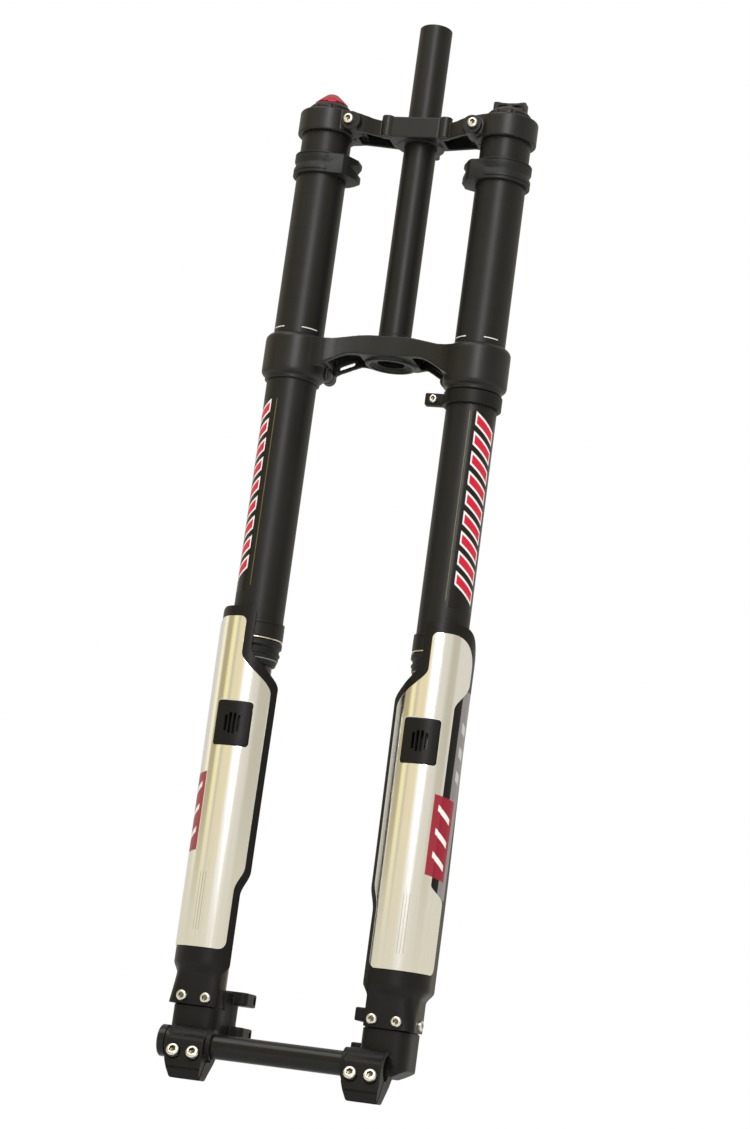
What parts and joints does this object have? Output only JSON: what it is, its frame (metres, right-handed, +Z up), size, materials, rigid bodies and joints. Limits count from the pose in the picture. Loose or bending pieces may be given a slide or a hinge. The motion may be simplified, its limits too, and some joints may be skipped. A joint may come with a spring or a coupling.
{
  "type": "suspension fork",
  "caption": "Inverted dual-crown bicycle suspension fork with a straight steerer, sprung telescopic legs, polished leg guards and clamped through-axle dropouts.",
  "frame": {"origin": "on the steerer axis, at the crown-race seat on top of the lower crown", "axes": "+Z up along the steerer, -Y to the front of the bicycle, +X to the right of someone in front of the fork"},
  "size_m": [0.2248, 0.1074, 0.9355],
  "materials": {
    "black_anodised_alloy": "satin black anodised",
    "black_painted_alloy": "satin black paint on cast and machined alloy",
    "black_plastic": "moulded, satin",
    "black_rubber": "matte",
    "zinc_plated_steel": "bright zinc plate",
    "polished_alloy": "mirror polished",
    "bronze": "turned",
    "bare_alloy": "turned",
    "red_anodised": "bright red anodised"
  },
  "bodies": {
    "upper_assembly": {"steerer_tube": "black_anodised_alloy", "upper_crown": "black_painted_alloy", "upper_crown_bolt_left": "zinc_plated_steel", "upper_crown_bolt_right": "zinc_plated_steel", "steerer_clamp_bolt": "zinc_plated_steel", "lower_crown": "black_painted_alloy", "lower_crown_upper_bolt_left": "zinc_plated_steel", "lower_crown_upper_bolt_right": "zinc_plated_steel", "lower_crown_lower_bolt_left": "zinc_plated_steel", "lower_crown_lower_bolt_right": "zinc_plated_steel", "hose_guide_clamp": "black_painted_alloy", "hose_guide_bolt": "zinc_plated_steel", "damper_tube": "bare_alloy", "damper_seal_head": "bare_alloy", "air_spring_tube": "bare_alloy", "air_spring_seal_head": "bare_alloy", "outer_tube_left": "black_anodised_alloy", "frame_bumper_left": "black_rubber", "seal_head_left": "black_anodised_alloy", "wiper_ring_left": "bronze", "dust_wiper_left": "black_rubber", "lower_bushing_left": "bronze", "top_cap_left": "black_anodised_alloy", "outer_tube_right": "black_anodised_alloy", "frame_bumper_right": "black_rubber", "seal_head_right": "black_anodised_alloy", "wiper_ring_right": "bronze", "dust_wiper_right": "black_rubber", "lower_bushing_right": "bronze", "top_cap_right": "black_anodised_alloy"},
    "lower_assembly": {"through_axle": "black_anodised_alloy", "damper_rod": "bare_alloy", "damper_piston": "bronze", "air_spring_rod": "bare_alloy", "air_spring_piston": "bronze", "stanchion_left": "black_anodised_alloy", "upper_bushing_left": "bronze", "dropout_left": "black_painted_alloy", "foot_bolt_left": "zinc_plated_steel", "axle_pinch_bolt_first_left": "zinc_plated_steel", "axle_pinch_bolt_second_left": "zinc_plated_steel", "guard_shell_left": "black_plastic", "guard_plate_left": "polished_alloy", "guard_bolt_inner_left": "zinc_plated_steel", "guard_bolt_outer_left": "zinc_plated_steel", "guard_bolt_side_left": "zinc_plated_steel", "stanchion_right": "black_anodised_alloy", "upper_bushing_right": "bronze", "dropout_right": "black_painted_alloy", "foot_bolt_right": "zinc_plated_steel", "axle_pinch_bolt_first_right": "zinc_plated_steel", "axle_pinch_bolt_second_right": "zinc_plated_steel", "guard_shell_right": "black_plastic", "guard_plate_right": "polished_alloy", "guard_bolt_inner_right": "zinc_plated_steel", "guard_bolt_outer_right": "zinc_plated_steel", "guard_bolt_side_right": "zinc_plated_steel"},
    "rebound_knob": {"rebound_knob": "red_anodised"},
    "lockout_lever": {"lockout_lever": "black_plastic"}
  },
  "joints": [
    {"name": "fork_travel", "type": "slide", "parent": "upper_assembly", "child": "lower_assembly", "axis": [0, 0, 1], "range_m": [0, 0.2], "stiffness_N_per_m": 4500, "springref_m": -0.02},
    {"name": "rebound_knob_turn", "type": "hinge", "parent": "upper_assembly", "child": "rebound_knob", "pos_m": [-0.0808, -0.0178, 0.2121], "axis": [0, 0, 1], "range_deg": [0, 300]},
    {"name": "lockout_lever_turn", "type": "hinge", "parent": "upper_assembly", "child": "lockout_lever", "pos_m": [0.0808, -0.0178, 0.2121], "axis": [0, 0, 1], "range_deg": [0, 90]}
  ]
}
